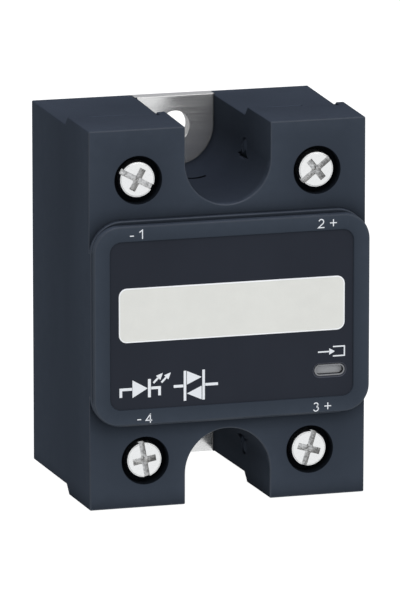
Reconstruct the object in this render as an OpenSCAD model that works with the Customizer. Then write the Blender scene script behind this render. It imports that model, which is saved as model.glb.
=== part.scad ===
// Panel-mount solid state relay, standing upright.
// The mounting face of the baseplate lies on y = 0, the front looks towards -Y and +Z is up.
// Depths are measured from the mounting face towards the front.

/* [Housing] */
// Width of the housing at the mounting face
back_w = 44; // [43.6:0.1:44.6]
// Width of the housing at its front face
face_w = 43; // [42.8:0.1:43.4]
// Height of the rear half at the mounting face
back_h = 56.2; // [55.8:0.1:56.6]
// Height of the rear half where the step begins
step_h = 55.5; // [55:0.1:56]
// Height of the front half just in front of the step
front_h = 58.2; // [57.8:0.1:58.6]
// Height of the housing at its front face
face_h = 57.8; // [57.4:0.1:58.2]
// Height of the housing's middle above the middle of the two fixing holes
shell_rise = 0.4; // [0:0.1:0.6]
// Depth at which the step begins
step_start = 18.2; // [18:0.1:18.6]
// Depth at which the rear and front housings meet
split_d = 19.6; // [19.5:0.1:19.8]
// Depth of the face that the terminal wells open in
face_d = 30.9; // [30.8:0.1:31.2]
// Depth of the front of the raised bezel, the relay's full depth
front_d = 33.4; // [33.2:0.1:33.6]

/* [Fixing] */
// Distance between the two fixing holes
fixing_pitch = 47.6; // [47.2:0.1:48]
// Diameter of each fixing hole in the baseplate
fixing_d = 4.7; // [4.3:0.1:5]
// Radius of the screw notches at the mounting face
notch_back_r = 6; // [5.8:0.05:6.1]
// Radius of the screw notches at the front face
notch_front_r = 6.65; // [6.4:0.05:6.7]
// Thickness of the baseplate
plate_t = 2.5; // [2.2:0.1:2.7]

/* [Terminals] */
// Half the distance between the two output terminals
output_x = 13.9; // [13.7:0.1:14]
// Height of the output terminals above the middle
output_z = 21.6; // [21.4:0.1:21.7]
// Half the distance between the two input terminals
input_x = 12.9; // [12.8:0.1:13.2]
// Depth of the input terminals below the middle
input_z = 21.3; // [21.2:0.1:21.4]
// Diameter of the wells around the screw heads
well_dia = 7.2; // [6.8:0.1:7.4]
// Diameter of the screw heads
head_dia = 5.5; // [5:0.1:5.7]
// Travel of the clamp cages from open to closed
clamp_travel = 3.9; // [3.2:0.1:4.2]

/* [Front] */
// Height of the raised bezel
bezel_h = 30.4; // [30:0.1:30.8]
// Corner radius of the raised bezel
bezel_r = 4; // [3:0.1:5]
// Width of the label panel
label_w = 37.8; // [37:0.1:38.4]
// Height of the label panel
label_h = 25.5; // [25:0.1:26]

/* [Hidden] */
$fn = 64;

far = 60;                                    // longer than the whole relay, for cutting through
gap = 0.1;                                   // assembly gap between parts that are slid together

// Terminals: 1 and 2 are the outputs along the top, 3 and 4 the inputs along the bottom.
terminal_at = [
    [-output_x, output_z], [output_x, output_z], [input_x, -input_z], [-input_x, -input_z]
];
slot_turn = [-28.5, 38.8, 72.9, -80.5];      // how far each screw's slot is turned

// Rear housing, from the back
plate_rim = 1.5;                             // width of the skirt round the baseplate
tab_half = 6.3;                              // half the width of the baseplate's end tabs
bead_t = 0.3;
ledge_d = plate_t + bead_t;                  // ledge that the baseplate is bonded to
ledge_w = 1;
notch_wall = 1.4;                            // wall left round each screw notch
deck_d = 11;                                 // back of the floor under the terminal chambers
chamber_d = 12.4;                            // front of that floor
core_half_w = 19.9;                          // central well, which the control board stands in
core_half_h = 15.8;

// Front housing
tongue_t = 0.9;
seat_d = 27.2;                               // back of the seat under each screw head
seat_t = 1;
core_front_d = 29.4;                         // inside of the front wall
plinth_d = 31.8;
plinth_grow = 0.5;                           // the plinth stands this far past the bezel, top and bottom
plinth_r = 4.8;
neck_d = 32.2;                               // the bezel's rim stands off the plinth on a neck
neck_inset = 0.6;
peg_at = [15.2, 10.4];
peg_r = 1;
peg_back_d = 29.9;

// Label and light guide
label_r = 1.65;
label_t = 0.5;
label_front_d = 33.15;
strip_size = [35.2, 8.3];
strip_r = 1.25;
strip_z = 1.6;
strip_t = 0.1;
lamp_at = [15.3, -8.7];
lamp_size = [4.76, 1.72];
lamp_front_d = 33.1;
lamp_back_d = 14.1;

// Terminal clamps
cage_w = 7.4;
cage_side = 0.9;
cage_len = 7;
cage_floor_d = 12.9;
cage_floor_t = 0.8;
nut_t = 2;
nut_clear = 0.3;                             // left between the closed cage and the seat
nut_d = seat_d - nut_clear - nut_t - clamp_travel;
chamber_half_w = 4;
chamber_half_len = 3.8;
bar_w = 5;
bar_t = 1;
bar_d = 18.5;                                // back of the bar under the screw's tip
bar_outer = 4.3;                             // how far the bar runs past the screw's axis
entry_w = 5.4;
entry_back_d = 14;
entry_front_d = 18.1;
shank_r = 2;
thread_clear = 0.05;
tip_d = 20;
tip_bevel = 0.4;
head_back_d = 28.25;
head_front_d = 30.5;

// Power stage, stacked on the baseplate
base_cu_t = 0.3;
ceramic_t = 0.6;
trace_t = 0.3;
ceramic_d = plate_t + base_cu_t;
trace_d = ceramic_d + ceramic_t;
die_d = trace_d + trace_t;
die_t = 0.3;
clip_d = die_d + die_t;
substrate_size = [34, 21];
substrate_z = 4.9;
pad_margin = 0.8;
left_pad_w = 7.6;
pad_gap = 0.8;
gate_pad_h = 9;
output_leg_z = 14.3;                         // inner face of the output bars' legs
input_leg_z = 14.2;
foot_len = 2.4;
die_x = [-3.4, 6];
die_size = [7, 7];
die_z = 8.6;
gel_front_d = 8;

// Control board
board_d = 10.4;
board_t = 1.6;
board_front_d = board_d + board_t;
board_size = [37.4, 26.8];
pin_r = 0.4;
pin_x = [-14.6, -11.4, 11.4, 14.6];
pin_z = -3.2;

// ---- helpers ----

// A flat outline in X and Z, made solid between two depths
module layer(from, to) {
    translate([0, -from, 0]) rotate([90, 0, 0]) linear_extrude(height = to - from) children();
}

// A block at x and z, between two depths
module block(x, z, w, h, from, to) {
    layer(from, to) translate([x, z]) square([w, h], center = true);
}

// A round pin or bore at x and z, between two depths
module round_bar(x, z, r, from, to) {
    translate([x, -from, z]) rotate([90, 0, 0]) cylinder(r = r, h = to - from);
}

module rounded_outline(w, h, r) {
    square([w - 2 * r, h], center = true);
    square([w, h - 2 * r], center = true);
    for (x = [-1, 1], z = [-1, 1])
        translate([x * (w / 2 - r), z * (h / 2 - r)]) circle(r);
}

// The lamp's pill shape, grown on all sides
module lamp_outline(grow = 0) {
    r = lamp_size[1] / 2 + grow;
    reach = (lamp_size[0] - lamp_size[1]) / 2;
    translate(lamp_at) {
        square([2 * reach, 2 * r], center = true);
        for (x = [-reach, reach])
            translate([x, 0]) circle(r);
    }
}

// ---- the housings' outer form ----

// Both housings together: drafted sides, and ends with a step half way along
module shell_envelope() {
    side = back_w / 2;
    front_side = face_w / 2;
    intersection() {
        linear_extrude(height = 2 * far, center = true)
            polygon([[-side, 0], [side, 0], [front_side, -face_d], [-front_side, -face_d]]);
        rotate([90, 0, 90]) linear_extrude(height = 2 * far, center = true)
            polygon([
                [0, shell_rise + back_h / 2], [-step_start, shell_rise + step_h / 2],
                [-split_d, shell_rise + front_h / 2], [-face_d, shell_rise + face_h / 2],
                [-face_d, shell_rise - face_h / 2], [-split_d, shell_rise - front_h / 2],
                [-step_start, shell_rise - step_h / 2], [0, shell_rise - back_h / 2]
            ]);
    }
}

function notch_r(depth) = notch_back_r + (notch_front_r - notch_back_r) * depth / face_d;

// One screw notch, open to the top (dir 1) or to the bottom (dir -1), grown by a wall's width
module screw_notch(dir, grow = 0) {
    from = -1;
    to = face_d + 1;
    r1 = notch_r(from) + grow;
    r2 = notch_r(to) + grow;
    translate([0, -from, dir * fixing_pitch / 2])
        rotate([90, 0, 0]) cylinder(r1 = r1, r2 = r2, h = to - from, $fn = 96);
    translate([0, 0, dir * (fixing_pitch / 2 + far / 2)])
        linear_extrude(height = far, center = true)
            polygon([[-r1, -from], [r1, -from], [r2, -to], [-r2, -to]]);
}

// The step's back edge is relieved between the cheeks of each terminal block
module step_relief() {
    cheek = 1.2;
    relief_front_d = 21.6;
    relief_drop = 0.3;
    inner = notch_front_r + cheek;
    outer = face_w / 2 - cheek;
    for (x = [-1, 1], z = [-1, 1])
        block(x * (inner + outer) / 2, z * (front_h / 2 + far / 2 - relief_drop) + shell_rise,
            outer - inner, far, step_start - 1, relief_front_d);
}

// Snap windows in the notch walls. The front housing's hooks nearly fill them, with a groove
// round each hook's outer end and a slanting gap under its inner end.
module snap_windows() {
    inner = 21.5;
    outer = 23.3;
    hook_d = 18.2;
    hook_r = 1.3;
    hook_sink = 0.12;
    groove_w = 0.2;
    groove_sink = 0.8;
    gap_end = [-15.8, -20.8];
    gap_rise = 0.92;
    gap_sink = 3;
    for (x = [-1, 1], z = [-1, 1]) {
        into_wall(x, hook_sink) {
            translate([-hook_d, z * (inner + outer) / 2])
                square([2 * hook_r, outer - inner], center = true);
            translate([-hook_d, z * outer]) circle(hook_r);
        }
        into_wall(x, groove_sink) difference() {
            translate([-hook_d, z * outer]) circle(hook_r);
            translate([-hook_d, z * outer]) circle(hook_r - groove_w);
            translate([-hook_d, z * (outer - hook_r)]) square(2 * hook_r, center = true);
        }
        translate([x * notch_r(split_d), 0, z * inner]) rotate([0, x * z * 45, 0])
            rotate([90, 0, 90]) linear_extrude(height = 2 * gap_sink, center = true)
                polygon([[gap_end[0], 0], [gap_end[1], 0], [-hook_d, z * gap_rise]]);
    }
}

// A flat outline in Y and Z, sunk into one side wall of the notches
module into_wall(side, sink) {
    reach = 1.5;
    translate([side * (notch_r(split_d) + sink - reach), 0, 0]) rotate([90, 0, 90])
        linear_extrude(height = 2 * reach, center = true) children();
}

// Narrow slits across the bottom of each notch, where the mould's halves close
module notch_slits() {
    slit_d = 12.1;
    slit_w = 0.8;
    for (z = [-1, 1])
        block(0, z * (fixing_pitch / 2 - notch_r(slit_d)), 4, 2, slit_d, slit_d + slit_w);
}

// Room for one clamp cage, between two depths
module terminal_chamber(n, from, to) {
    at = terminal_at[n];
    block(at[0], at[1], 2 * chamber_half_w, 2 * chamber_half_len, from, to);
}

// ---- housings ----

module plate_outline(grow = 0) {
    w = back_w - 2 * plate_rim + 2 * grow;
    h = back_h - 2 * plate_rim + 2 * grow;
    translate([0, shell_rise]) {
        square([w, h], center = true);
        square([2 * (tab_half + grow), back_h + 2 * grow], center = true);
    }
}

// The hollow behind the terminals, clear of the notch walls
module cavity(from, to) {
    w = back_w - 2 * (plate_rim + ledge_w);
    h = back_h - 2 * (plate_rim + ledge_w);
    difference() {
        block(0, shell_rise, w, h, from, to);
        for (dir = [-1, 1])
            screw_notch(dir, notch_wall);
    }
}

module rear_housing() {
    color([0.2, 0.23, 0.27])
    difference() {
        intersection() {
            shell_envelope();
            block(0, 0, 2 * far, 2 * far, 0, split_d);
        }
        for (dir = [-1, 1])
            screw_notch(dir);
        layer(-1, ledge_d) plate_outline(gap);
        cavity(ledge_d - 1, deck_d);
        block(0, 0, 2 * core_half_w, 2 * core_half_h, ledge_d, far);
        for (n = [0:3]) {
            terminal_chamber(n, chamber_d, far);
            bar_passage(n);
            wire_entry(n);
        }
        step_relief();
        snap_windows();
        notch_slits();
    }
}

// Slot that a bar lies in, from the central well to a pocket in the terminal block's end wall
module bar_passage(n) {
    at = terminal_at[n];
    inner = core_half_h - 1;
    outer = abs(at[1]) + bar_outer + gap;
    block(at[0], sign(at[1]) * (inner + outer) / 2, bar_w + 2 * gap, outer - inner,
        bar_d - gap, far);
}

// Opening for the wire in the end wall of one terminal block
module wire_entry(n) {
    at = terminal_at[n];
    block(at[0], at[1] + sign(at[1]) * far / 4, entry_w, far / 2, entry_back_d, entry_front_d);
}

module front_housing() {
    color([0.21, 0.24, 0.28])
    difference() {
        union() {
            intersection() {
                shell_envelope();
                block(0, 0, 2 * far, 2 * far, split_d, face_d);
            }
            layer(core_front_d + 1, plinth_d)
                rounded_outline(face_w, bezel_h + 2 * plinth_grow, plinth_r);
            locating_tongues();
        }
        for (dir = [-1, 1])
            screw_notch(dir);
        block(0, 0, 2 * (core_half_w - gap - tongue_t), 2 * core_half_h, 0, core_front_d);
        for (n = [0:3]) {
            at = terminal_at[n];
            terminal_chamber(n, 0, seat_d);
            round_bar(at[0], at[1], shank_r + thread_clear, seat_d - 1, seat_d + seat_t + 1);
            round_bar(at[0], at[1], well_dia / 2, seat_d + seat_t, far);
        }
        layer(core_front_d - 1, far) lamp_outline(gap);
        for (x = [-1, 1], z = [-1, 1])
            round_bar(x * peg_at[0], z * peg_at[1], peg_r, core_front_d - 1, far);
        step_relief();
        snap_windows();
    }
}

// Two tongues on the front housing that slide inside the rear housing's central well
module locating_tongues() {
    tongue_h = 22;
    reach = 2;
    for (x = [-1, 1])
        block(x * (core_half_w - gap - tongue_t / 2), 0, tongue_t, tongue_h,
            split_d - reach, split_d + reach);
}

module bezel() {
    color([0.22, 0.25, 0.29])
    difference() {
        union() {
            layer(plinth_d, neck_d + 0.1)
                rounded_outline(face_w - 2 * neck_inset, bezel_h - 2 * neck_inset, bezel_r - neck_inset);
            layer(neck_d, front_d) rounded_outline(face_w, bezel_h, bezel_r);
            for (x = [-1, 1], z = [-1, 1])
                round_bar(x * peg_at[0], z * peg_at[1], peg_r, peg_back_d, plinth_d + 0.5);
        }
        layer(label_front_d - label_t, far) rounded_outline(label_w, label_h, label_r);
        layer(0, far) lamp_outline(gap);
    }
}

module label_panel() {
    rim = 0.3;
    color([0.18, 0.19, 0.22])
    difference() {
        layer(label_front_d - label_t, label_front_d) rounded_outline(label_w, label_h, label_r);
        layer(0, far) lamp_outline(rim);
    }
}

module marking_strip() {
    color([0.86, 0.87, 0.85])
    layer(label_front_d, label_front_d + strip_t)
        translate([0, strip_z]) rounded_outline(strip_size[0], strip_size[1], strip_r);
}

// Light guide, with a flange that is bonded to the inside of the front wall
module light_guide() {
    flange_w = 0.7;
    flange_t = 0.8;
    color([0.55, 0.56, 0.58])
    union() {
        layer(lamp_back_d, lamp_front_d) lamp_outline();
        layer(core_front_d - flange_t, core_front_d) lamp_outline(flange_w);
    }
}

// ---- baseplate and power stage ----

module baseplate() {
    color([0.75, 0.74, 0.72])
    difference() {
        layer(0, plate_t) plate_outline();
        for (dir = [-1, 1])
            round_bar(0, dir * fixing_pitch / 2, fixing_d / 2, -1, plate_t + 1);
    }
}

module sealant_bead() {
    color([0.1, 0.1, 0.11])
    difference() {
        layer(plate_t, ledge_d) plate_outline();
        cavity(0, far);
        for (dir = [-1, 1])
            screw_notch(dir);
    }
}

module substrate_copper_base() {
    color([0.75, 0.45, 0.3])
    block(0, substrate_z, substrate_size[0] - pad_margin, substrate_size[1] - pad_margin,
        plate_t, ceramic_d);
}

module ceramic_substrate() {
    color([0.93, 0.92, 0.88])
    block(0, substrate_z, substrate_size[0], substrate_size[1], ceramic_d, trace_d);
}

// Source pad and gate pad on the left, and the wide drain pad that the dies are soldered to
module copper_traces() {
    w = substrate_size[0] - 2 * pad_margin;
    h = substrate_size[1] - 2 * pad_margin;
    left_x = -w / 2 + left_pad_w / 2;
    drain_w = w - left_pad_w - pad_gap;
    source_h = h - gate_pad_h - pad_gap;
    color([0.78, 0.48, 0.32]) {
        block(left_x, substrate_z - h / 2 + gate_pad_h / 2, left_pad_w, gate_pad_h, trace_d, die_d);
        block(left_x, substrate_z + h / 2 - source_h / 2, left_pad_w, source_h, trace_d, die_d);
        block(w / 2 - drain_w / 2, substrate_z, drain_w, h, trace_d, die_d);
    }
}

module mosfet_dies() {
    color([0.3, 0.3, 0.33])
    for (x = die_x)
        block(x, die_z, die_size[0], die_size[1], die_d, clip_d);
}

// Copper clips from the top of each die to the source pad
module bond_clips() {
    clip_t = 0.4;
    clip_w = 2;
    rise = 1.4;
    end_x = -11;
    color([0.82, 0.52, 0.35])
    for (n = [0, 1]) {
        top = -(clip_d + rise + n);
        start = die_x[n] + 1.6;
        translate([0, 0, die_z + (n == 0 ? -1.8 : 1.6)])
            linear_extrude(height = clip_w, center = true)
                polygon([
                    [start, -clip_d], [start, -clip_d - clip_t], [start - 1.2, -clip_d - clip_t],
                    [start - 2.2, top - clip_t], [end_x - 0.2, top - clip_t],
                    [end_x - 1, -die_d - clip_t], [end_x - 2.6, -die_d - clip_t],
                    [end_x - 2.6, -die_d], [end_x - 0.6, -die_d], [end_x + 0.2, top],
                    [start - 2.4, top], [start - 1.4, -clip_d]
                ]);
    }
}

// Pins that carry the gate and sense signals from the board to the substrate
module link_pins() {
    color([0.8, 0.72, 0.45])
    for (x = pin_x)
        round_bar(x, pin_z, pin_r, die_d, board_front_d + 0.8);
}

// Soft gel over the power stage, with room left round the dies, their clips and the bars' legs
module potting_gel() {
    room_size = [26, 8];
    room_x = -2.7;
    room_front_d = clip_d + 3.2;
    leg_room = 0.2;
    leg_from = output_leg_z - foot_len - leg_room;
    leg_to = output_leg_z + bar_t + leg_room;
    color([0.24, 0.25, 0.27, 0.8])
    difference() {
        cavity(plate_t, gel_front_d);
        block(0, substrate_z, substrate_size[0], substrate_size[1], 0, die_d);
        block(room_x, die_z, room_size[0], room_size[1], 0, room_front_d);
        for (x = pin_x)
            round_bar(x, pin_z, pin_r, 0, far);
        for (n = [0, 1])
            block(terminal_at[n][0], (leg_from + leg_to) / 2, bar_w + 2 * leg_room,
                leg_to - leg_from, 0, far);
    }
}

// ---- control board ----

module control_board() {
    color([0.1, 0.32, 0.2])
    difference() {
        block(0, 0, board_size[0], board_size[1], board_d, board_front_d);
        for (x = pin_x)
            round_bar(x, pin_z, pin_r, 0, far);
    }
}

// A moulded chip body with a row of gull-wing leads down both long sides
module leaded_chip(x, z, w, h, body_t, lead_x) {
    stand = 0.3;
    lead_w = 0.5;
    lead_out = 1.1;
    foot_t = 0.25;
    bend_d = board_front_d + stand + body_t * 0.45;
    block(x, z, w, h, board_front_d + stand, board_front_d + stand + body_t);
    for (dx = lead_x, dir = [-1, 1]) {
        lead_z = z + dir * (h / 2 + lead_out * 0.35);
        block(x + dx, lead_z, lead_w, lead_out * 0.7, bend_d - foot_t, bend_d);
        block(x + dx, z + dir * (h / 2 + lead_out * 0.7), lead_w, foot_t, board_front_d, bend_d);
        block(x + dx, z + dir * (h / 2 + lead_out * 1.1), lead_w, lead_out * 0.8,
            board_front_d, board_front_d + foot_t);
    }
}

module optocoupler() {
    color([0.9, 0.9, 0.86])
    leaded_chip(-4.5, -6.4, 6.6, 4.6, 3.2, [-2.54, 0, 2.54]);
}

module driver_chip() {
    color([0.12, 0.12, 0.13])
    leaded_chip(5.2, -5.6, 4.9, 3.9, 1.5, [-1.905, -0.635, 0.635, 1.905]);
}

// A chip part with a plated cap, slightly proud, on each end
module chip_part(x, z, w, h, t) {
    cap = w * 0.16;
    proud = 0.05;
    block(x, z, w - cap, h, board_front_d, board_front_d + t);
    for (dir = [-1, 1])
        block(x + dir * (w - cap) / 2, z, cap, h + 2 * proud, board_front_d,
            board_front_d + t + proud);
}

module chip_resistors() {
    color([0.15, 0.15, 0.16])
    for (x = [-13.2, -8.6, -4, 0.6, 5.2], z = [3.2, 6.4])
        chip_part(x, z, 3.2, 1.6, 0.6);
}

module chip_capacitors() {
    color([0.72, 0.6, 0.42])
    for (x = [10.4, 14.8], z = [2.4, 5.6])
        chip_part(x, z, 3.2, 1.8, 1.3);
}

module surge_diode() {
    color([0.13, 0.13, 0.14])
    for (x = [-12, 10.6])
        chip_part(x, 10.2, 4.6, 3.6, 2.3);
}

module status_led() {
    color([0.9, 0.85, 0.4])
    union() {
        block(lamp_at[0], lamp_at[1], 3.4, 2.8, board_front_d, board_front_d + 1.3);
        round_bar(lamp_at[0], lamp_at[1], 1.1, board_front_d + 1.2, board_front_d + 1.9);
    }
}

// ---- terminals ----

// A bar under the screw's tip, with a leg down to the depth it is soldered at
module terminal_bar(n, leg_z, foot_d) {
    at = terminal_at[n];
    dir = sign(at[1]);
    outer = abs(at[1]) + bar_outer;
    tongue = outer - leg_z;
    block(at[0], dir * (leg_z + tongue / 2), bar_w, tongue, bar_d, bar_d + bar_t);
    block(at[0], dir * (leg_z + bar_t / 2), bar_w, bar_t, foot_d, bar_d + bar_t);
    block(at[0], dir * (leg_z - foot_len / 2 + bar_t / 2), bar_w, foot_len + bar_t,
        foot_d, foot_d + bar_t);
}

module output_bar(n) {
    color([0.8, 0.78, 0.7])
    terminal_bar(n, output_leg_z - 0.1, die_d);
}

module input_bar(n) {
    color([0.8, 0.78, 0.7])
    terminal_bar(n, input_leg_z, board_front_d);
}

// Box clamp: the wire goes through the window, and the threaded wall rides on the screw
module clamp_cage(n) {
    at = terminal_at[n];
    inner_w = cage_w - 2 * cage_side;
    color([0.78, 0.78, 0.76])
    difference() {
        block(at[0], at[1], cage_w, cage_len, cage_floor_d, nut_d + nut_t);
        block(at[0], at[1], inner_w, cage_len + 2, cage_floor_d + cage_floor_t, nut_d);
        round_bar(at[0], at[1], shank_r + thread_clear, nut_d - 1, nut_d + nut_t + 1);
    }
}

// Slotted and crossed head, flat on top, with a plain shank in place of the thread
module terminal_screw(n) {
    at = terminal_at[n];
    head_r = head_dia / 2;
    edge = 0.2;
    slot_w = 0.8;
    slot_depth = 0.9;
    cross_len = 3.6;
    cross_depth = 1.3;
    centre_r = 0.75;
    point_r = 0.3;
    point_depth = 1.6;
    color([0.93, 0.93, 0.93])
    translate([at[0], 0, at[1]]) rotate([90, 0, 0]) rotate([0, 0, slot_turn[n]])
    difference() {
        union() {
            translate([0, 0, head_back_d]) rotate_extrude($fn = 96)
                polygon([
                    [0, 0], [head_r - edge, 0], [head_r, edge],
                    [head_r, head_front_d - head_back_d - edge],
                    [head_r - edge, head_front_d - head_back_d], [0, head_front_d - head_back_d]
                ]);
            translate([0, 0, tip_d]) rotate_extrude()
                polygon([
                    [0, 0], [shank_r - tip_bevel, 0], [shank_r, tip_bevel],
                    [shank_r, head_back_d - tip_d + edge], [0, head_back_d - tip_d + edge]
                ]);
        }
        translate([0, 0, head_front_d]) cube([far, slot_w, 2 * slot_depth], center = true);
        translate([0, 0, head_front_d]) cube([slot_w, cross_len, 2 * cross_depth], center = true);
        translate([0, 0, head_front_d - point_depth])
            rotate_extrude($fn = 32)
                polygon([[0, 0], [point_r, 0], [centre_r, point_depth], [0, point_depth]]);
    }
}

baseplate();
sealant_bead();
substrate_copper_base();
ceramic_substrate();
copper_traces();
mosfet_dies();
bond_clips();
link_pins();
potting_gel();
control_board();
optocoupler();
driver_chip();
chip_resistors();
chip_capacitors();
surge_diode();
status_led();
light_guide();
output_bar(0);  // output_bar_1
output_bar(1);  // output_bar_2
input_bar(2);  // input_bar_3
input_bar(3);  // input_bar_4
rear_housing();
front_housing();
bezel();
label_panel();
marking_strip();
clamp_cage(0);  // clamp_cage_1
clamp_cage(1);  // clamp_cage_2
clamp_cage(2);  // clamp_cage_3
clamp_cage(3);  // clamp_cage_4
terminal_screw(0);  // terminal_screw_1
terminal_screw(1);  // terminal_screw_2
terminal_screw(2);  // terminal_screw_3
terminal_screw(3);  // terminal_screw_4
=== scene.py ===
import math

import bmesh
import bpy
from mathutils import Matrix, Vector
from mathutils.bvhtree import BVHTree


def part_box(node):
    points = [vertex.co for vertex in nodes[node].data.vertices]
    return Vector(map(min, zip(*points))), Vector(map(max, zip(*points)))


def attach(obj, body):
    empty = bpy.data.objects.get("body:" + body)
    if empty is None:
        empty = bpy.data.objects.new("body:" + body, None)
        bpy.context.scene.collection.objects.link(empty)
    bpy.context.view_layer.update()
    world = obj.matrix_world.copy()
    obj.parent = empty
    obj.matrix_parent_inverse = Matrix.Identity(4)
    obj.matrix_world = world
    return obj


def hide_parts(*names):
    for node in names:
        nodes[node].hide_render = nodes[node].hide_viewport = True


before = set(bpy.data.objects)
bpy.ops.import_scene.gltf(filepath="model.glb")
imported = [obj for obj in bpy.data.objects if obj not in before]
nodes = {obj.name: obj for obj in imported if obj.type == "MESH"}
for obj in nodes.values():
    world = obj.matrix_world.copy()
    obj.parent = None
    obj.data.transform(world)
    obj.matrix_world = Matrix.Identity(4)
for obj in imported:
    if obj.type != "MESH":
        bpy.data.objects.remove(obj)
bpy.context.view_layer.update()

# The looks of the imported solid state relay: rounded shells, threaded screws, prints, a lamp lens,
# and a procedural material on every piece. Lengths are in millimetres, and a depth is measured from
# the mounting face towards the front, so it is -y. The studio's lights are placed in metres.

MM = 0.001
ROOT = "relay"


# ---- places read from the frame ----

def node_box(name):
    """Lowest and highest corner of a CAD node, in millimetres."""
    low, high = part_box(name)
    return low / MM, high / MM


label_low, label_high = node_box("label_panel")
strip_low, strip_high = node_box("marking_strip")
guide_low, guide_high = node_box("light_guide")
rear_low = node_box("rear_housing")[0]
front_low = node_box("front_housing")[0]
FRONT = node_box("bezel")[0].y           # the bezel's front plane
SPLIT = rear_low.y                       # where the two housings meet
TERMINALS = (1, 2, 3, 4)
PRINT_T = 0.01                           # how high the prints stand
PRINT_SINK = 0.02                        # how far they reach into the surface


# ---- meshes ----

def new_piece(name, bm, material, body=ROOT):
    """Turns a bmesh in millimetres into a piece that rides on a body."""
    bmesh.ops.recalc_face_normals(bm, faces=bm.faces)
    bmesh.ops.scale(bm, vec=Vector((MM, MM, MM)), verts=bm.verts)
    mesh = bpy.data.meshes.new(name)
    bm.to_mesh(mesh)
    bm.free()
    mesh.materials.append(material)
    obj = bpy.data.objects.new(name, mesh)
    bpy.context.scene.collection.objects.link(obj)
    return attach(obj, body)


def shade_by_angle(obj, degrees=30):
    """Smooth shading, with hard edges where faces meet at more than an angle."""
    mesh = obj.data
    bm = bmesh.new()
    bm.from_mesh(mesh)
    for face in bm.faces:
        face.smooth = True
    for edge in bm.edges:
        edge.smooth = not edge.is_manifold or edge.calc_face_angle() < math.radians(degrees)
    bm.to_mesh(mesh)
    bm.free()
    level = obj.modifiers.new("even_normals", "WEIGHTED_NORMAL")
    level.keep_sharp = True
    level.weight = 80


def outer_tree():
    """All CAD surfaces in one search tree, to tell outer edges from inner ones."""
    points, faces = [], []
    for obj in nodes.values():
        first = len(points)
        points += [v.co / MM for v in obj.data.vertices]
        faces += [[first + i for i in p.vertices] for p in obj.data.polygons]
    return BVHTree.FromPolygons(points, faces)


TREE = outer_tree()
EDGE_WEAR_AND_HIGHLIGHT = "wear_and_highlight"                        # how much lighter a point of a rounded copy is painted: wear, and partly a painted highlight
WELD = 0.002                             # points of a CAD mesh nearer than this are one
FLAT = math.radians(0.3)                 # faces that meet at less than this are one
SHARP = math.radians(20)                 # edges that turn by less than this are not rounded


def seen_from_outside(point, direction):
    return TREE.ray_cast(point + direction * 0.02, direction)[0] is None


def rounded(node, name, radius, material, keep_sharp=None, body=ROOT, hidden=False, front=None,
            edge_material=None, wear_and_highlight_at=None):
    """A copy of a CAD node with its outer edges rounded, shown in the node's place.

    A hidden node, inside the housings, has every convex edge rounded. The rounded bands take the edge
    material, and are painted lighter for wear and partly as a painted highlight, where the given test says so.
    With front, nothing passes that y.
    """
    bm = bmesh.new()
    bm.from_mesh(nodes[node].data)
    bmesh.ops.scale(bm, vec=Vector((1 / MM,) * 3), verts=bm.verts)
    bmesh.ops.remove_doubles(bm, verts=bm.verts, dist=WELD)
    bmesh.ops.dissolve_limit(bm, angle_limit=FLAT, verts=bm.verts, edges=bm.edges)
    picked = []
    for edge in bm.edges:
        if not edge.is_manifold or not edge.is_convex or edge.calc_face_angle() < SHARP:
            continue
        middle = (edge.verts[0].co + edge.verts[1].co) / 2
        outward = (edge.link_faces[0].normal + edge.link_faces[1].normal).normalized()
        if keep_sharp and keep_sharp(middle):
            continue
        if hidden or seen_from_outside(middle, outward):
            picked.append(edge)
    touched = {v for edge in picked for v in edge.verts}
    plain = [f for f in bm.faces if len(f.verts) > 4 and touched.isdisjoint(f.verts)]
    bmesh.ops.triangulate(bm, faces=plain)
    band = bmesh.ops.bevel(bm, geom=picked, offset=radius, offset_type="OFFSET", segments=3, profile=0.5,
                           affect="EDGES", clamp_overlap=False, miter_outer="ARC", loop_slide=True)
    lightened_bands = [f for f in band["faces"] if wear_and_highlight_at is None or wear_and_highlight_at(f)]
    for face in lightened_bands:
        face.material_index = 1 if edge_material else 0
    lightening_layer = bm.verts.layers.float.new(EDGE_WEAR_AND_HIGHLIGHT)
    for vert in {v for f in lightened_bands for v in f.verts}:
        vert[lightening_layer] = 1.0
    for vert in bm.verts:                # the painted lightening, for wear and partly a painted highlight, fades where a band meets a large face
        if any(f.calc_area() > 1.0 for f in vert.link_faces):
            vert[lightening_layer] = 0.35 * vert[lightening_layer]
    bmesh.ops.triangulate(bm, faces=[f for f in bm.faces if len(f.verts) > 4])
    if front is not None:
        for vert in bm.verts:
            vert.co.y = max(vert.co.y, front)
    piece = new_piece(name, bm, material, body)
    if edge_material:
        piece.data.materials.append(edge_material)
    shade_by_angle(piece)
    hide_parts(node)
    return piece


def ring(bm, outline, depth):
    """One ring of points of a flat (x, z) outline, at a depth."""
    return [bm.verts.new((x, -depth, z)) for x, z in outline]


def skin(bm, rings, closed=False):
    """Side faces through rings with the same number of points, and flat ends unless closed on itself."""
    pairs = list(zip(rings, rings[1:] + rings[:1])) if closed else list(zip(rings, rings[1:]))
    for one, two in pairs:
        for n in range(len(one)):
            m = (n + 1) % len(one)
            bm.faces.new((one[n], one[m], two[m], two[n]))
    if not closed:
        bm.faces.new(rings[0])
        bm.faces.new(rings[-1])


def circle(radius, steps):
    return [(radius * math.cos(2 * math.pi * n / steps), radius * math.sin(2 * math.pi * n / steps))
            for n in range(steps)]


def revolved(profile, steps=96):
    """A solid turned round the Y axis from (radius, depth) points, its ends flat."""
    bm = bmesh.new()
    skin(bm, [ring(bm, circle(radius, steps), depth) for radius, depth in profile])
    return bm


def box_outline(x0, x1, z0, z1):
    return [(x0, z0), (x1, z0), (x1, z1), (x0, z1)]


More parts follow.
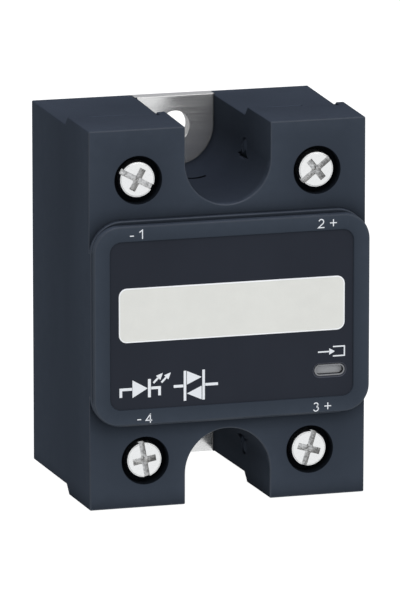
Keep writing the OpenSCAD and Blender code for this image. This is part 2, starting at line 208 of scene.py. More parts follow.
def soft_box_outline(low, high, inset, radius, steps=8):
    """A box outline with round corners, drawn in from a node's own box."""
    x0, x1, z0, z1 = low.x + inset, high.x - inset, low.z + inset, high.z - inset
    r = radius - inset
    points = []
    for x, z, start in ((x1 - r, z1 - r, 0), (x0 + r, z1 - r, 90), (x0 + r, z0 + r, 180), (x1 - r, z0 + r, 270)):
        for n in range(steps + 1):
            angle = math.radians(start + 90 * n / steps)
            points.append((x + r * math.cos(angle), z + r * math.sin(angle)))
    return points


def pill_outline(centre, half_w, half_h, steps=14):
    """A pill lying along X: two half circles joined by straight sides."""
    reach = half_w - half_h
    points = []
    for side, start in ((1, -90), (-1, 90)):
        for n in range(steps + 1):
            angle = math.radians(start + 180 * n / steps)
            points.append((centre[0] + side * reach + half_h * math.cos(angle),
                           centre[1] + half_h * math.sin(angle)))
    return points


def ribbon_outline(points, width):
    """A line of even width with square ends and mitred corners, as a flat outline."""
    sides = ([], [])
    for n, (x, z) in enumerate(points):
        before = points[max(n - 1, 0)]
        after = points[min(n + 1, len(points) - 1)]
        into = Vector((x - before[0], z - before[1]))
        out = Vector((after[0] - x, after[1] - z))
        into = (into if into.length else out).normalized()
        out = (out if out.length else into).normalized()
        across = Vector((-(into + out).y, (into + out).x)).normalized()
        reach = width / 2 / max(across.dot(Vector((-into.y, into.x))), 0.3)
        sides[0].append((x + across.x * reach, z + across.y * reach))
        sides[1].append((x - across.x * reach, z - across.y * reach))
    return sides[0] + sides[1][::-1]


def printed(name, outlines, surface):
    """Flat prints: each outline made solid, from just inside a surface to the print's height above it."""
    bm = bmesh.new()
    for outline in outlines:
        skin(bm, [ring(bm, outline, surface - PRINT_SINK), ring(bm, outline, surface + PRINT_T)])
    new_piece(name, bm, INK)


def carved(bm, cutters):
    """A bmesh with other bmeshes cut out of it."""
    def as_object(source, label):
        mesh = bpy.data.meshes.new(label)
        bmesh.ops.recalc_face_normals(source, faces=source.faces)
        source.to_mesh(mesh)
        source.free()
        obj = bpy.data.objects.new(label, mesh)
        bpy.context.scene.collection.objects.link(obj)
        return obj

    block = as_object(bm, "block")
    tools = [as_object(cutter, "cutter") for cutter in cutters]
    for tool in tools:
        cut = block.modifiers.new("cut", "BOOLEAN")
        cut.operation = "DIFFERENCE"
        cut.solver = "EXACT"
        cut.object = tool
    mesh = bpy.data.meshes.new_from_object(block.evaluated_get(bpy.context.evaluated_depsgraph_get()))
    result = bmesh.new()
    result.from_mesh(mesh)
    for obj in [block] + tools:
        bpy.data.objects.remove(obj)
    bpy.data.meshes.remove(mesh)
    return result


# ---- materials ----

def scaled(colour, factor):
    return tuple(min(1, c * factor) for c in colour)


class Look:
    """A procedural material whose patterns are laid out in millimetres of the shared frame."""

    def __init__(self, name, colour, roughness, metallic=0.0, specular=0.5):
        self.material = bpy.data.materials.new(name)
        self.material.use_nodes = True
        self.tree = self.material.node_tree
        self.shader = self.tree.nodes["Principled BSDF"]
        self.shader.inputs["Metallic"].default_value = metallic
        self.shader.inputs["Specular IOR Level"].default_value = specular
        self.shader.inputs["Roughness"].default_value = roughness
        self.shader.inputs["Base Color"].default_value = (*colour, 1)
        self.colour = colour
        place = self.tree.nodes.new("ShaderNodeTexCoord")
        scale = self.tree.nodes.new("ShaderNodeMapping")
        scale.inputs["Scale"].default_value = (1 / MM,) * 3
        self.tree.links.new(place.outputs["Object"], scale.inputs["Vector"])
        self.place = scale.outputs["Vector"]

    def node(self, kind, **inputs):
        made = self.tree.nodes.new(kind)
        for key, value in inputs.items():
            self.feed(made.inputs[key], value)
        return made

    def feed(self, socket, value):
        if isinstance(value, bpy.types.NodeSocket):
            self.tree.links.new(value, socket)
        else:
            socket.default_value = value

    def noise(self, size, detail=2.0, stretch=(1, 1, 1), seed=0.0):
        """Noise with features about size millimetres across, stretched along an axis."""
        turned = self.node("ShaderNodeMapping", Vector=self.place)
        turned.inputs["Scale"].default_value = tuple(1 / (size * s) for s in stretch)
        turned.inputs["Location"].default_value = (seed, seed * 0.7, seed * 1.3)
        made = self.node("ShaderNodeTexNoise", Vector=turned.outputs["Vector"], Scale=1.0, Detail=detail)
        return made.outputs["Fac"]

    def spread(self, fac, low, high, from_low=0.3, from_high=0.7):
        made = self.node("ShaderNodeMapRange", Value=fac)
        made.inputs["From Min"].default_value = from_low
        made.inputs["From Max"].default_value = from_high
        made.inputs["To Min"].default_value = low
        made.inputs["To Max"].default_value = high
        return made.outputs["Result"]

    def mix(self, fac, a, b):
        """Blends two colours. The Mix node's colour sockets share their names with others, so they go by number."""
        made = self.tree.nodes.new("ShaderNodeMix")
        made.data_type = "RGBA"
        self.feed(made.inputs[0], fac)
        for socket, value in ((made.inputs[6], a), (made.inputs[7], b)):
            if isinstance(value, bpy.types.NodeSocket):
                self.tree.links.new(value, socket)
            else:
                socket.default_value = (*value, 1)
        return made.outputs[2]

    def shades(self, fac, spread):
        """The look's own colour, a little darker and lighter with a pattern."""
        return self.mix(fac, scaled(self.colour, 1 - spread), scaled(self.colour, 1 + spread))

    def bump(self, height, depth):
        made = self.node("ShaderNodeBump", Height=height, Strength=1.0, Distance=depth * MM)
        self.feed(self.shader.inputs["Normal"], made.outputs["Normal"])

    def finish(self, colour, roughness=None):
        self.feed(self.shader.inputs["Base Color"], colour)
        if roughness is not None:
            self.feed(self.shader.inputs["Roughness"], roughness)
        return self.material


def moulded_plastic(name, colour, roughness=0.5, grain=0.16, depth=0.012, edge_lightening=0.5, specular=0.15, lift=2.2,
                    shade=0.0, mottle=0.05):
    """Moulded plastic: a fine spark-eroded grain, faint flow marks, and edges painted lighter for wear and partly
    as a painted highlight.

    Lightened edges are lift times as light. With shade, inner corners get painted shade within that many
    millimetres.
    """
    look = Look(name, colour, roughness, specular=specular)
    flow = look.noise(9, 3, (1, 1, 2.5))
    fine = look.noise(grain, 3, seed=4.0)
    body = look.shades(look.spread(flow, 0, 1), mottle)
    # edges painted lift times as light, for wear and partly as a painted highlight
    wear_and_highlight = tuple(min(1, c * lift + 0.012) for c in colour)
    patchy = look.spread(look.noise(1.6, 4, seed=9.0), 0.55, 1.0)
    edge = look.node("ShaderNodeAttribute")
    edge.attribute_name = EDGE_WEAR_AND_HIGHLIGHT
    both = look.tree.nodes.new("ShaderNodeMath")
    both.operation = "MULTIPLY"
    look.feed(both.inputs[0], edge.outputs["Fac"])
    look.feed(both.inputs[1], patchy)
    amount = look.spread(both.outputs[0], 0.0, edge_lightening, 0.0, 1.0)
    look.bump(fine, depth)
    surface = look.mix(amount, body, wear_and_highlight)
    # painted shade: ambient occlusion darkens inner corners within shade millimetres, down to a quarter of the
    # colour
    if shade:
        open_air = look.node("ShaderNodeAmbientOcclusion", Distance=shade * MM)
        open_air.samples = 4
        surface = look.mix(look.spread(open_air.outputs["AO"], 0, 1, 0.3, 0.9), scaled(colour, 0.25), surface)
    return look.finish(surface, look.spread(fine, roughness - 0.05, roughness + 0.07))


def worked_metal(name, colour, roughness, stretch, streak=0.12, depth=0.004, spread=0.05, stains=0.35,
                 metallic=1.0):
    """Metal with drawn or milled streaks along one axis and faint stains.

    Streaks are streak millimetres wide and up to spread darker; stretch says how long they are along each axis.
    """
    look = Look(name, colour, roughness, metallic=metallic)
    streaks = look.noise(streak, 3, stretch)
    stain = look.noise(5, 3, seed=2.0)
    look.bump(streaks, depth)
    tone = look.mix(look.spread(streaks, 0, 1), scaled(colour, 1 - spread), colour)
    return look.finish(look.mix(look.spread(stain, 0, stains, 0.45, 0.75), tone, scaled(colour, 0.9)),
                       look.spread(streaks, roughness - 0.05, roughness + 0.06))


HOUSING_COLOUR = (0.0372, 0.0456, 0.0596)
BEZEL_COLOUR = (0.0370, 0.0456, 0.0592)
# shade=3 paints shade into the housing's inner corners
HOUSING = moulded_plastic("housing_plastic", HOUSING_COLOUR, roughness=0.55, specular=0.004, shade=3)
HOUSING_EDGE = moulded_plastic("housing_edge_plastic", HOUSING_COLOUR, roughness=0.32, depth=0.004,
                               specular=0.22, edge_lightening=0.12)

# Painted shade and painted light in the housing's openings, tuned until the openings looked as they do in the
# photo.
# The darker ones are painted shade in the wells, slits and notches. The lighter one is painted light in the snap
# windows and on the rear walls of the wire entries; it hides a line that those walls would draw, which the photo
# doesn't have.
WELL_PAINTED_SHADE = moulded_plastic("well_painted_shade", scaled(HOUSING_COLOUR, 0.22), roughness=0.6, specular=0.004)
NOTCH_PAINTED_SHADE = moulded_plastic("notch_painted_shade", scaled(HOUSING_COLOUR, 0.8), roughness=0.6, specular=0.004, shade=3)
OPENING_PAINTED_LIGHT = moulded_plastic("opening_painted_light", scaled(HOUSING_COLOUR, 1.2), roughness=0.55, specular=0.004,
                          edge_lightening=0.1)

# shade=1 paints shade into the bezel's inner corners
BEZEL = moulded_plastic("bezel_plastic", BEZEL_COLOUR, roughness=0.5, grain=0.13, specular=0.006, shade=1)
BEZEL_EDGE = moulded_plastic("bezel_edge_plastic", BEZEL_COLOUR, roughness=0.32, grain=0.13, depth=0.004,
                             specular=0.2, edge_lightening=0.1)
LABEL = moulded_plastic("label_film_look", (0.0250, 0.0280, 0.0365), roughness=0.6, grain=0.1, edge_lightening=0.1,
                        specular=0.01)
MARKING = moulded_plastic("marking_film_look", (0.712, 0.700, 0.645), roughness=0.6, grain=0.2, edge_lightening=0.6,
                          lift=1.3, mottle=0.015)
FIELD_EDGE = moulded_plastic("marking_edge_look", (0.93, 0.93, 0.92), roughness=0.5, grain=0.2, depth=0.002,
                             edge_lightening=0.1, lift=1.05)
INK = moulded_plastic("ink_look", (0.80, 0.81, 0.82), roughness=0.5, grain=0.08, depth=0.002, edge_lightening=0.1, lift=1.1)

PLATE = worked_metal("plate_metal", (0.99, 0.965, 0.93), 0.18, (60, 1, 1), streak=0.2, depth=0.0003, spread=0.08,
                     stains=0.06, metallic=0.77)
SCREW = worked_metal("screw_metal", (0.99, 0.975, 0.945), 0.30, (1, 1, 1), streak=0.35, depth=0.0015, stains=0.15)
RECESS = worked_metal("recess_metal", (0.90, 0.89, 0.87), 0.40, (1, 1, 1), streak=0.32, depth=0.014, spread=0.7,
                      stains=0.5)
CAGE = worked_metal("cage_metal", (0.62, 0.63, 0.62), 0.35, (1, 1, 6))
BAR = worked_metal("bar_metal", (0.70, 0.66, 0.55), 0.3, (1, 1, 8))
COPPER = worked_metal("copper_metal", (0.72, 0.36, 0.22), 0.35, (6, 1, 1))
PIN = worked_metal("pin_metal_look", (0.80, 0.68, 0.38), 0.28, (1, 6, 1))
SILICON = worked_metal("silicon_look", (0.20, 0.20, 0.24), 0.18, (1, 1, 1), streak=2.0)

SEALANT = moulded_plastic("sealant_look", (0.024, 0.026, 0.030), roughness=0.55, grain=0.8, depth=0.05,
                          specular=0.04)
GEL = moulded_plastic("gel_look", (0.050, 0.052, 0.060), roughness=0.15, grain=3.0, depth=0.05, specular=0.5)
CERAMIC = moulded_plastic("ceramic_look", (0.84, 0.83, 0.79), roughness=0.5, grain=0.08, specular=0.5)
BOARD = moulded_plastic("board_look", (0.012, 0.085, 0.035), roughness=0.35, grain=0.5, specular=0.5)
CHIP_BLACK = moulded_plastic("chip_black_look", (0.016, 0.016, 0.018), roughness=0.5, grain=0.07, specular=0.4)
CHIP_WHITE = moulded_plastic("chip_white_look", (0.76, 0.75, 0.70), roughness=0.5, grain=0.07, specular=0.4)
CAPACITOR = moulded_plastic("capacitor_look", (0.46, 0.32, 0.16), roughness=0.4, grain=0.07, specular=0.5)
LED = moulded_plastic("led_look", (0.80, 0.72, 0.30), roughness=0.2, grain=0.4, specular=0.5)

LENS = moulded_plastic("lens_look", (0.40, 0.40, 0.405), roughness=0.45, grain=0.3, depth=0.03, edge_lightening=0.8,
                       specular=0.1)
# painted shade: the lamp's rim is a darker copy of the lens plastic
LENS_RIM_PAINTED_SHADE = moulded_plastic("lens_rim_painted_shade", (0.24, 0.24, 0.245), roughness=0.5, grain=0.3, specular=0.1)
COLLAR = moulded_plastic("collar_plastic", (0.062, 0.066, 0.082), roughness=0.5, specular=0.1)
# painted shade: the walls of the lamp's sunk window are near black
LENS_WALL_PAINTED_SHADE = moulded_plastic("lens_wall_painted_shade", (0.030, 0.031, 0.033), roughness=0.5, grain=0.3, specular=0.2)

CAD_LOOKS = {
    "sealant_bead": SEALANT, "substrate_copper_base": COPPER, "ceramic_substrate": CERAMIC,
    "copper_traces": COPPER, "mosfet_dies": SILICON, "bond_clips": COPPER, "link_pins": PIN, "potting_gel": GEL,
    "control_board": BOARD, "optocoupler": CHIP_WHITE, "driver_chip": CHIP_BLACK, "chip_resistors": CHIP_BLACK,
    "chip_capacitors": CAPACITOR, "surge_diode": CHIP_BLACK, "status_led": LED,
}
for name, material in CAD_LOOKS.items():
    for entry in nodes[name].material_slots:
        entry.material = material


# ---- housings, bezel and label ----

BEZEL_FACE = -FRONT - PRINT_T            # the bezel is trimmed so that its prints end at the CAD's front
LABEL_FACE = -label_low.y
FIXING_PITCH = 47.6                      # between the two fixing holes, along Z
FIXING_R = 2.35
NOTCH_R_BACK = 6                         # the notches' radius at the back and at the front
NOTCH_R_FRONT = 6.65
PLATE_SKIRT = 1.5                        # how far the plate's end tabs run past its body
PLATE_TAB = 6.3                          # half the width of the tabs
PLATE_SEAT = -2.8                        # the rear housing's step in front of the baseplate
STEP = -18.2                             # the step in the rear housing's outline, below the joint
ENTRY_BACK = -14                         # the rear wall of the wire entries
SLIT = (-12.95, -12.05)                  # from where to where the slits in the notches' floors run, in y
SLIT_HALF = 2.05                         # a little more than half their width
WINDOW = (-21, -15.5)                    # the snap windows in the notches' walls, in y
WINDOW_Z = (20, 25.5)                    # and in z, either way
ENTRY_Z = 27                             # the wire entries lie outside this, either way
NOTCH_Z = 15                             # and the notches outside this
FRONT_EDGES = 6                          # how far back from the front the edges are painted lighter, for wear by hands and partly as a painted highlight
LABEL_RIM = 0.6                          # how far the edge of the label's opening reaches round the label
WELL_R = 3.65                            # a little more than the wells' radius
STRIP_R = 1.25                           # the marking strip's corner radius
WELLS = [tuple((a + b) / 2 for a, b in zip(*node_box(f"terminal_screw_{n}"))) for n in TERMINALS]


def kept_edge(point):
    """Edges left sharp: the joint between the housings, the step below it, the plate's seat and the slits."""
    beside_tab = abs(point.x) < PLATE_TAB + 0.5 and point.y > PLATE_SEAT - 0.03
    at_slit = abs(point.x) < SLIT_HALF and SLIT[0] < point.y < SLIT[1] and abs(point.z) > NOTCH_Z
    return abs(point.y - SPLIT) < 0.03 or abs(point.y - STEP) < 0.15 or beside_tab or at_slit


def at_mounting_rim(face):
    """True along the rear edges, which scrape on the heatsink."""
    return face.calc_center_median().y > -1


def near_well(point, reach):
    return any(math.hypot(point.x - c[0], point.z - c[2]) < reach for c in WELLS)


def on_front(face):
    """True along the front edges that hands touch, painted lighter for wear and partly as a painted highlight, but
    not round the wells.
    """
    middle = face.calc_center_median()
    return middle.y < front_low.y + FRONT_EDGES and not near_well(middle, WELL_R + 0.4)


def off_label(face):
    """True away from the label's opening, so that only the bezel's outer edges are painted lighter, for wear and
    partly as a painted highlight.
    """
    middle = face.calc_center_median()
    beside = not label_low.x - LABEL_RIM < middle.x < label_high.x + LABEL_RIM
    return beside or not label_low.z - LABEL_RIM < middle.z < label_high.z + LABEL_RIM


rear_shell = rounded("rear_housing", "rear_shell", 0.2, HOUSING, kept_edge,
                     edge_material=HOUSING_EDGE, wear_and_highlight_at=at_mounting_rim)
front_shell = rounded("front_housing", "front_shell", 0.2, HOUSING, kept_edge,
                      edge_material=HOUSING_EDGE, wear_and_highlight_at=on_front)
rounded("bezel", "bezel_frame", 0.3, BEZEL, front=-BEZEL_FACE,
        edge_material=BEZEL_EDGE, wear_and_highlight_at=off_label)
rounded("label_panel", "label_film", 0.06, LABEL)
rounded("marking_strip", "marking_field", 0.08, MARKING, edge_material=FIELD_EDGE)
for name in ("output_bar_1", "output_bar_2", "input_bar_3", "input_bar_4"):
    rounded(name, name + "_strip", 0.12, BAR, hidden=True)
for n in TERMINALS:
    rounded(f"clamp_cage_{n}", f"cage_frame_{n}", 0.14, CAGE, body=f"cage_{n}", hidden=True)


def field_border():
    """The thin raised border round the writable field."""
    bm = bmesh.new()
    face = -strip_low.y
    profile = ((0.03, face - 0.03), (0.03, face + 0.008), (0.05, face + 0.02),
               (0.17, face + 0.02), (0.19, face + 0.008), (0.19, face - 0.03))
    rings = [ring(bm, soft_box_outline(strip_low, strip_high, inset, STRIP_R), depth) for inset, depth in profile]
    skin(bm, rings, closed=True)
    shade_by_angle(new_piece("field_border", bm, FIELD_EDGE), 50)


field_border()


OPENING_PAINTED_TONES = (WELL_PAINTED_SHADE, OPENING_PAINTED_LIGHT, NOTCH_PAINTED_SHADE)


def notch_radius(y):
    return NOTCH_R_BACK + (NOTCH_R_FRONT - NOTCH_R_BACK) * y / front_low.y


def look_of_opening(middle, normal):
    """The painted shade or painted light of a face in a well, slit, snap window, notch or wire entry, or None."""
    if near_well(middle, WELL_R + 0.05) and middle.y < SPLIT:
        return WELL_PAINTED_SHADE
    sunk = math.hypot(middle.x, abs(middle.z) - FIXING_PITCH / 2) - notch_radius(middle.y)
    at_slit = SLIT[0] < middle.y < SLIT[1] and abs(middle.x) < SLIT_HALF and abs(middle.z) > NOTCH_Z
    if at_slit and 0.03 < sunk < 1.2:
        return WELL_PAINTED_SHADE
    beside = abs(middle.x) - notch_radius(middle.y)
    at_window = WINDOW[0] < middle.y < WINDOW[1] and WINDOW_Z[0] < abs(middle.z) < WINDOW_Z[1]
    if at_window and 0.03 < beside < 2.5:
        return OPENING_PAINTED_LIGHT
    across = sunk if abs(middle.z) < FIXING_PITCH / 2 else beside
    if abs(normal.y) < 0.1 and abs(across) < 0.06:
        return NOTCH_PAINTED_SHADE
    if abs(middle.y - ENTRY_BACK) < 0.25 and abs(middle.z) > ENTRY_Z and normal.y < -0.2:
        return OPENING_PAINTED_LIGHT
    return None


def paint_light_and_shade_in_openings(shell):
    first = len(shell.data.materials)
    for look in OPENING_PAINTED_TONES:
        shell.data.materials.append(look)
    for face in shell.data.polygons:
        look = look_of_opening(face.center / MM, face.normal)
        if look is not None:
            face.material_index = first + OPENING_PAINTED_TONES.index(look)


# painted shade in the wells, slits and notches, and painted light in the snap windows and on the wire entries' rear
# walls
paint_light_and_shade_in_openings(rear_shell)
paint_light_and_shade_in_openings(front_shell)


# ---- baseplate ----

def plate():
    """The baseplate, its edges broken and its fixing holes lightly countersunk."""
    low, high = node_box("baseplate")
    rise = (low.z + high.z) / 2
    thick = -low.y
    bm = bmesh.new()
    rings = []
    for inset, depth in ((0.08, 0), (0.025, 0.025), (0, 0.08),
                         (0, thick - 0.08), (0.025, thick - 0.025), (0.08, thick)):
        w, tab = high.x - inset, PLATE_TAB - inset
        end = high.z - rise - inset
        h = end - PLATE_SKIRT
        corners = [(-w, -h), (-tab, -h), (-tab, -end), (tab, -end), (tab, -h), (w, -h),
                   (w, h), (tab, h), (tab, end), (-tab, end), (-tab, h), (-w, h)]
        rings.append(ring(bm, [(x, z + rise) for x, z in corners], depth))
    skin(bm, rings)
    holes = []
    for side in (-1, 1):
        profile = [(FIXING_R + 0.13, -0.05), (FIXING_R, 0.08),
                   (FIXING_R, thick - 0.08), (FIXING_R + 0.13, thick + 0.05)]
        hole = revolved(profile, 72)
        bmesh.ops.translate(hole, vec=(0, 0, side * FIXING_PITCH / 2), verts=hole.verts)
        holes.append(hole)
    piece = new_piece("plate", carved(bm, holes), PLATE)
    shade_by_angle(piece)
    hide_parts("baseplate")


# ---- lamp ----

FLANGE_W = 0.7                           # how far the light guide's flange stands past its sides
FLANGE_FRONT = 29.4                      # the depth of the flange's front
FLANGE_T = 0.8
WINDOW_SINK = 0.75                       # how far the lamp's window lies behind its rim
lamp_centre = ((guide_low.x + guide_high.x) / 2, (guide_low.z + guide_high.z) / 2)
lamp_half_w = (guide_high.x - guide_low.x) / 2 - FLANGE_W
lamp_half_h = (guide_high.z - guide_low.z) / 2 - FLANGE_W


def lamp_ring(bm, grow, depth):
    return ring(bm, pill_outline(lamp_centre, lamp_half_w + grow, lamp_half_h + grow), depth)


def light_pipe():
    """The guide from the board to the front, with a sunk window behind a thin rim."""
    back, front = -guide_high.y, -guide_low.y
    flange_back = FLANGE_FRONT - FLANGE_T
    window = front - WINDOW_SINK
    bm = bmesh.new()
    rings = [lamp_ring(bm, grow, depth) for grow, depth in (
        (-0.08, back), (0, back + 0.08), (0, flange_back), (FLANGE_W - 0.08, flange_back),
        (FLANGE_W, flange_back + 0.08), (FLANGE_W, FLANGE_FRONT), (0, FLANGE_FRONT), (0, front - 0.07),
        (-0.02, front - 0.02), (-0.07, front), (-0.15, front), (-0.19, front - 0.03), (-0.21, front - 0.08),
        (-0.25, window), (-0.33, window))]
    skin(bm, rings)
    piece = new_piece("light_pipe", bm, LENS)
    piece.data.materials.append(LENS_WALL_PAINTED_SHADE)
    piece.data.materials.append(LENS_RIM_PAINTED_SHADE)
    # painted shade: the rim takes a darker copy of the lens plastic, and the sunk window's walls a near-black one
    rim = front - 0.09
    for face in piece.data.polygons:
        depth = -face.center.y / MM
        inner = (abs(face.center.x / MM - lamp_centre[0]) < lamp_half_w - 0.1
                 and abs(face.center.z / MM - lamp_centre[1]) < lamp_half_h - 0.1)
        if depth > rim:
            face.material_index = 2
        elif window + 0.01 < depth < rim and inner:
            face.material_index = 1
    shade_by_angle(piece, 40)
    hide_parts("light_guide")


def lamp_collar():
    """A sloping collar that leads from the label down to the lamp."""
    bm = bmesh.new()
    foot = LABEL_FACE - 0.48
    rings = [lamp_ring(bm, grow, depth) for grow, depth in (
        (0.295, foot), (0.295, LABEL_FACE - 0.01), (0.27, LABEL_FACE),
        (0.05, LABEL_FACE - 0.24), (0.03, LABEL_FACE - 0.28), (0.03, foot))]
    skin(bm, rings, closed=True)
    shade_by_angle(new_piece("lamp_collar", bm, COLLAR), 40)


plate()
light_pipe()
lamp_collar()


# ---- prints: the terminals' numbers and signs, and two plain symbols ----

STROKE = 0.155                           # the width of the digits' and signs' lines
PLUS_W = 1.06
MINUS_W = 0.62


def arc(centre, radius, start, end, steps=14):
    """Points along an arc, between two angles in degrees."""
    angles = [math.radians(start + (end - start) * n / steps) for n in range(steps + 1)]
    return [(centre[0] + radius * math.cos(a), centre[1] + radius * math.sin(a)) for a in angles]


DIGITS = {                               # strokes of each digit, about its middle
    "1": [[(-0.36, 0.30), (0.12, 0.64), (0.12, -0.71)]],
    "2": [arc((0, 0.26), 0.37, 165, -38) + [(-0.44, -0.62), (0.50, -0.62)]],
    "3": [arc((0, 0.31), 0.32, 155, -62) + arc((-0.02, -0.25), 0.38, 62, -158)],
    "4": [[(0.50, -0.30), (-0.46, -0.30), (0.22, 0.62)], [(0.22, 0.71), (0.22, -0.71)]],
}


def digit(text, centre):
    x, z = centre
    strokes = [ribbon_outline([(x + a, z + b) for a, b in stroke], STROKE) for stroke in DIGITS[text]]
    printed(f"terminal_number_{text}", strokes, BEZEL_FACE)


def sign(name, centre, plus):
    x, z = centre
    half, arm = (PLUS_W if plus else MINUS_W) / 2, STROKE / 2
    if plus:
        outline = [(x - half, z - arm), (x - arm, z - arm), (x - arm, z - half), (x + arm, z - half),
                   (x + arm, z - arm), (x + half, z - arm), (x + half, z + arm), (x + arm, z + arm),
                   (x + arm, z + half), (x - arm, z + half), (x - arm, z + arm), (x - half, z + arm)]
    else:
        outline = box_outline(x - half, x + half, z - arm, z + arm)
    printed(name, [outline], BEZEL_FACE)


MARKS = (                                # number, its place, the sign's place, and whether it is a plus
    ("1", (-14.09, 13.92), (-15.6, 13.72), False),
    ("2", (13.82, 13.90), (15.72, 13.92), True),
    ("3", (13.10, -14.22), (14.95, -14.16), True),
    ("4", (-13.02, -14.20), (-14.53, -14.33), False),
)
for text, place, sign_place, plus in MARKS:
    digit(text, place)
    sign(f"terminal_sign_{text}", sign_place, plus)


def circuit_symbol():
    """A diode that lights a pair of back-to-back valves: the plain symbol for a relay with no moving contact."""
    x0, z0 = -9.8, -9.65
    line = 0.42

    def at(points):
        return [(x0 + x, z0 + z) for x, z in points]

    shapes = [
        ribbon_outline(at([(-7.5, -1.2), (-7.5, 0), (-5.75, 0)]), line),
        at([(-5.7, -1.35), (-3.35, 0), (-5.7, 1.35)]),
        box_outline(x0 - 3.3, x0 - 2.85, z0 - 1.4, z0 + 1.4),
        ribbon_outline(at([(-2.8, 0), (-1.5, 0), (-1.5, -1.2)]), line),
    ]
    for shift in (0, 1.25):
        shapes.append(ribbon_outline(at([(shift - 2.45, 0.75), (shift - 1.7, 1.5)]), 0.3))
        shapes.append(at([(shift - 2.05, 1.82), (shift - 1.38, 1.15), (shift - 1.0, 2.2)]))
    shapes += [
        ribbon_outline(at([(0.7, 0), (2.2, 0)]), line),
        box_outline(x0 + 2.25, x0 + 2.65, z0 - 2.3, z0 + 2.3),
        at([(2.75, 0.15), (5.05, 1.2), (2.75, 2.25)]),
        at([(5.05, -0.15), (2.75, -1.2), (5.05, -2.25)]),
        box_outline(x0 + 5.15, x0 + 5.55, z0 - 2.3, z0 + 2.3),
        ribbon_outline(at([(5.6, 0), (7.6, 0)]), line),
    ]
    printed("relay_symbol", shapes, LABEL_FACE)


def input_symbol():
    """An arrow going into a bracket, over the lamp that shows the input."""
    x0, z0 = 15.6, -5.85
    shapes = [
        box_outline(x0 - 2.15, x0 - 0.42, z0 - 0.11, z0 + 0.11),
        [(x0 - 0.38, z0 - 0.5), (x0 + 0.5, z0), (x0 - 0.38, z0 + 0.5)],
        ribbon_outline([(x0 + 0.2, z0 + 0.72), (x0 + 2.0, z0 + 0.72),
                        (x0 + 2.0, z0 - 0.72), (x0 + 0.2, z0 - 0.72)], 0.2),
    ]
    printed("input_symbol", shapes, LABEL_FACE)


circuit_symbol()
input_symbol()


# ---- clamp screws ----

SLOT_TURN = {1: -28.5, 2: 38.8, 3: 72.9, 4: -80.5}   # as the slots stand in the CAD
HEAD_R = 2.75
HEAD_T = 2.25
SLOT_HALF = 0.43                         # half the width of the slot, and of the arm across it
SLOT_DEPTH = 0.9
ARM_HALF = 0.49
ARM_DEPTH = 1.3
ARM_REACH = 1.8                          # from the screw's axis to the arm's end
THREAD_PITCH = 0.7
THREAD_R = (1.64, 1.98)                  # at the thread's root and crest
NECK_R = 1.72
NECK_LENGTH = 0.9
THREAD_FLATS = 1.7                       # above 1, the thread's root and crest are flat
LEAD = 0.8                               # how fast the thread's point widens


def block(half_x, half_z, back, front):
    bm = bmesh.new()
    outline = box_outline(-half_x, half_x, -half_z, half_z)
    skin(bm, [ring(bm, outline, back), ring(bm, outline, front)])
    return bm


def screw_head(back, front):
    """A flat head with a turned rim, a slot right across and a shorter arm across that."""
    head = revolved([(HEAD_R - 0.2, back), (HEAD_R - 0.06, back + 0.06), (HEAD_R, back + 0.2),
                     (HEAD_R, front - 0.32), (HEAD_R - 0.03, front - 0.2), (HEAD_R - 0.12, front - 0.1),
                     (HEAD_R - 0.24, front - 0.07), (HEAD_R - 0.27, front - 0.03), (HEAD_R - 0.32, front)])
    slot = block(HEAD_R + 1.25, SLOT_HALF, front - SLOT_DEPTH, front + 1)
    arm = block(ARM_HALF, ARM_REACH, front - ARM_DEPTH, front + 1)
    point = revolved([(0.3, front - 1.6), (0.75, front + 0.01)], 32)
    return carved(head, [slot, arm, point])


def in_recess(face, back, front):
    """True for the faces inside a head's slot or arm."""
    middle = face.calc_center_median()
    out = math.hypot(middle.x, middle.z)
    in_slot = abs(middle.z) < SLOT_HALF + 0.01
    in_arm = abs(middle.x) < ARM_HALF + 0.01 and out < ARM_REACH + 0.1
    square = abs(face.normal.y) > 0.9 or abs(face.normal.z) > 0.9
    return back + 0.05 < -middle.y < front - 0.05 and (in_slot or in_arm) and (out < HEAD_R - 0.1 or square)


def threaded_shank(bm, tip, shoulder, steps=40, rows_per_turn=10):
    """A screw thread from the tip up to a plain neck under the head."""
    minor, major = THREAD_R
    rows = int((shoulder - tip) / THREAD_PITCH * rows_per_turn)
    rings = []
    for row in range(rows + 1):
        depth = tip + (shoulder - tip) * row / rows
        points = []
        for n in range(steps):
            turn = n / steps
            wave = math.cos(2 * math.pi * (depth / THREAD_PITCH - turn)) * THREAD_FLATS
            radius = (major + minor) / 2 + (major - minor) / 2 * max(-1, min(1, wave))
            radius = min(radius, minor - 0.3 + (depth - tip) * LEAD)
            if depth > shoulder - NECK_LENGTH:
                radius = min(radius, NECK_R)
            points.append((radius * math.cos(2 * math.pi * turn), radius * math.sin(2 * math.pi * turn)))
        rings.append(ring(bm, points, depth))
    skin(bm, rings)


def clamp_screws():
    low, high = node_box("terminal_screw_1")
    front, tip = -low.y, -high.y
    back = front - HEAD_T
    model = screw_head(back, front)
    for face in model.faces:
        face.material_index = int(in_recess(face, back, front))
    threaded_shank(model, tip, back + 0.15)
    bmesh.ops.recalc_face_normals(model, faces=model.faces)
    for n in TERMINALS:
        low, high = node_box(f"terminal_screw_{n}")
        turn = Matrix.Rotation(-math.radians(SLOT_TURN[n]), 4, "Y")
        place = Matrix.Translation(((low.x + high.x) / 2, 0, (low.z + high.z) / 2))
        bm = model.copy()
        bmesh.ops.transform(bm, matrix=place @ turn, verts=bm.verts)
        screw = new_piece(f"clamp_screw_{n}", bm, SCREW, f"screw_{n}")
        screw.data.materials.append(RECESS)
        shade_by_angle(screw, 32)
        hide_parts(f"terminal_screw_{n}")
    model.free()


clamp_screws()


# ---- camera, light and floor ----

LIGHT_AIM = Vector((0, -0.015, 0))
SKY_BEHIND = 0.36                        # the sky's strength behind the relay and on the photographer's side
SKY_BEFORE = 0.92

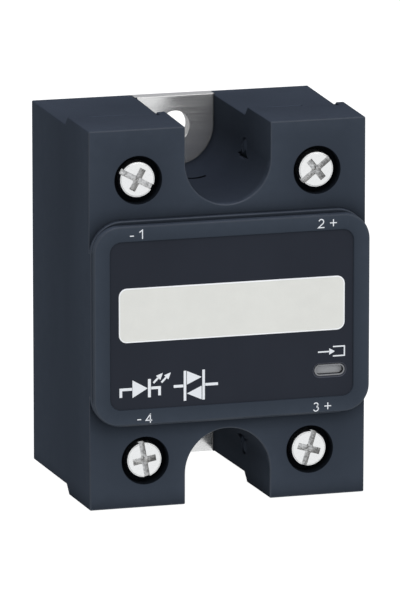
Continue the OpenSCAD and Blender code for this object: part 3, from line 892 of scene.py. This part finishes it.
def camera():
    """The photo's camera, fitted to about thirty corners of the housing."""
    aim = Vector((0, -15.3, 0.4)) * MM
    toward = Vector((-0.2748, -0.9373, 0.2144)).normalized()
    distance = 1030 * MM
    data = bpy.data.cameras.new("camera")
    data.lens = 407
    data.sensor_width = 36
    data.shift_x = 0.0024
    data.shift_y = -0.0125
    data.clip_end = 20
    obj = bpy.data.objects.new("camera", data)
    bpy.context.scene.collection.objects.link(obj)
    obj.location = aim + toward * distance
    obj.rotation_euler = (-toward).to_track_quat("-Z", "Y").to_euler()
    bpy.context.scene.camera = obj


def soft_light(name, place, size, power, colour=(1, 1, 1)):
    """A square light aimed at the relay's middle."""
    data = bpy.data.lights.new(name, "AREA")
    data.color = colour
    data.size = size
    data.energy = power
    obj = bpy.data.objects.new(name, data)
    bpy.context.scene.collection.objects.link(obj)
    obj.location = place
    obj.rotation_euler = (LIGHT_AIM - Vector(place)).to_track_quat("-Z", "Y").to_euler()


def studio():
    """A plain sky that fades from front to back, two soft lights and a white floor under the lower end."""
    world = bpy.data.worlds.new("studio")
    world.use_nodes = True
    tree = world.node_tree
    toward = tree.nodes.new("ShaderNodeTexCoord")
    parts = tree.nodes.new("ShaderNodeSeparateXYZ")
    fade = tree.nodes.new("ShaderNodeMapRange")
    fade.inputs["From Min"].default_value = 0.5
    fade.inputs["From Max"].default_value = -0.5
    fade.inputs["To Min"].default_value = SKY_BEHIND
    fade.inputs["To Max"].default_value = SKY_BEFORE
    tree.links.new(toward.outputs["Generated"], parts.inputs["Vector"])
    tree.links.new(parts.outputs["Y"], fade.inputs["Value"])
    sky = tree.nodes["Background"]
    sky.inputs["Color"].default_value = (0.93, 0.96, 1.0, 1)
    tree.links.new(fade.outputs["Result"], sky.inputs["Strength"])
    bpy.context.scene.world = world
    soft_light("key_light", (0.5, -0.9, 0.9), size=0.9, power=3.5)
    soft_light("top_light", (-0.1, -0.1, 1.2), size=0.8, power=5.2, colour=(0.80, 0.80, 1.0))
    floor = bmesh.new()
    bmesh.ops.create_grid(floor, x_segments=4, y_segments=4, size=4)
    mesh = bpy.data.meshes.new("floor")
    floor.to_mesh(mesh)
    floor.free()
    look = Look("floor_look", (0.15, 0.15, 0.15), 0.8, specular=0.1)
    look.shader.inputs["Emission Color"].default_value = (1, 1, 1, 1)
    look.shader.inputs["Emission Strength"].default_value = 1.0
    mesh.materials.append(look.finish(look.shades(look.spread(look.noise(60), 0, 1), 0.01)))
    obj = bpy.data.objects.new("floor", mesh)
    bpy.context.scene.collection.objects.link(obj)
    obj.location.z = min(rear_low.z, front_low.z) * MM
    obj.visible_diffuse = False
    obj.visible_glossy = False
    bpy.context.scene.view_settings.view_transform = "Standard"


camera()
studio()
